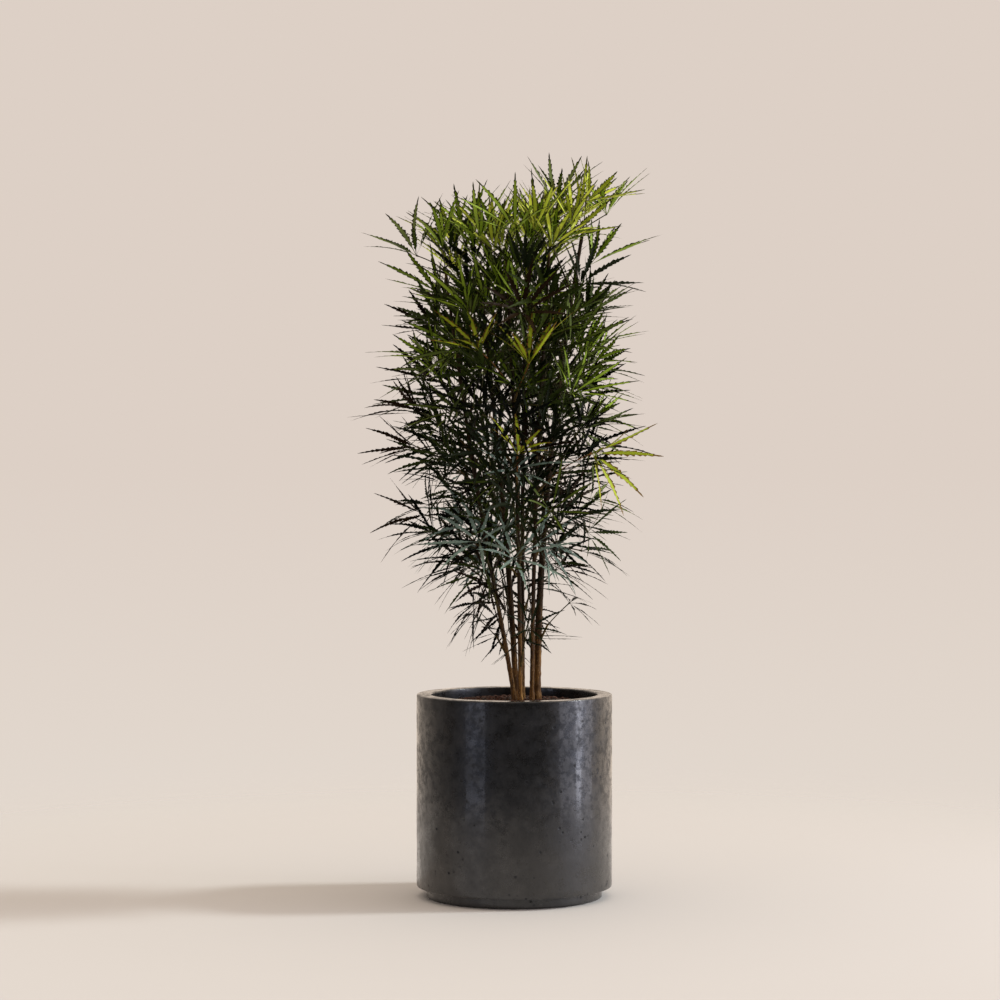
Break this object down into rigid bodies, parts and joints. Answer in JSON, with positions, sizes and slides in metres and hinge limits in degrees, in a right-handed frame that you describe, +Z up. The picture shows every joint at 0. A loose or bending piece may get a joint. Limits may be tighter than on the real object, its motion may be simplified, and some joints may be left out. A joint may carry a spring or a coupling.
{
  "type": "potted false aralia",
  "caption": "Slender-caned false aralia with a tall airy crown of spoke-like narrow leaflets, standing in a plain dark round stone planter filled with soil.",
  "frame": {"origin": "centre of the pot's flat underside", "axes": "+Z up the pot's axis, -Y towards the side seen in the picture, +X to that view's right"},
  "size_m": [0.4835, 0.4509, 1.1466],
  "materials": {
    "pot_stone": "satin",
    "soil": "matte",
    "cane_bark": "matte",
    "leaf_green": "satin",
    "leaf_young": "satin"
  },
  "bodies": {
    "root": {"pot": "pot_stone", "soil": "soil", "cane_1": "cane_bark", "cane_2": "cane_bark", "cane_3": "cane_bark", "cane_4": "cane_bark", "cane_5": "cane_bark", "cane_6": "cane_bark", "young_leaf_left": "leaf_young", "young_leaf_middle": "leaf_young", "young_leaf_right": "leaf_young", "stray_leaf_upper": "leaf_green", "stray_leaf_lower": "leaf_green", "low_leaf_left": "leaf_green", "low_leaf_right": "leaf_green", "low_leaf_front": "leaf_green", "low_leaf_back": "leaf_green", "young_leaf_lower": "leaf_young", "stray_leaf_middle": "leaf_green", "tuft_1": "leaf_green", "tuft_2": "leaf_green", "tuft_3": "leaf_green", "tuft_4": "leaf_green", "tuft_5": "leaf_green", "tuft_6": "leaf_green", "foliage_1_1": "leaf_green", "foliage_1_2": "leaf_green", "foliage_1_3": "leaf_green", "foliage_2_1": "leaf_green", "foliage_2_2": "leaf_green", "foliage_2_3": "leaf_green", "foliage_2_4": "leaf_green", "foliage_2_5": "leaf_green", "foliage_3_1": "leaf_green", "foliage_3_2": "leaf_green", "foliage_3_3": "leaf_green", "foliage_3_4": "leaf_green", "foliage_3_5": "leaf_green", "foliage_4_1": "leaf_green", "foliage_4_2": "leaf_green", "foliage_4_3": "leaf_green", "foliage_4_4": "leaf_green", "foliage_4_5": "leaf_green", "foliage_5_1": "leaf_green", "foliage_5_2": "leaf_green", "foliage_5_3": "leaf_green", "foliage_5_4": "leaf_green", "foliage_5_5": "leaf_green", "foliage_6_1": "leaf_green", "foliage_6_2": "leaf_green", "foliage_6_3": "leaf_green", "foliage_6_4": "leaf_green", "foliage_6_5": "leaf_green", "foliage_7_1": "leaf_green", "foliage_7_2": "leaf_green", "foliage_7_3": "leaf_green", "foliage_7_4": "leaf_green", "foliage_7_5": "leaf_green"}
  },
  "joints": []
}
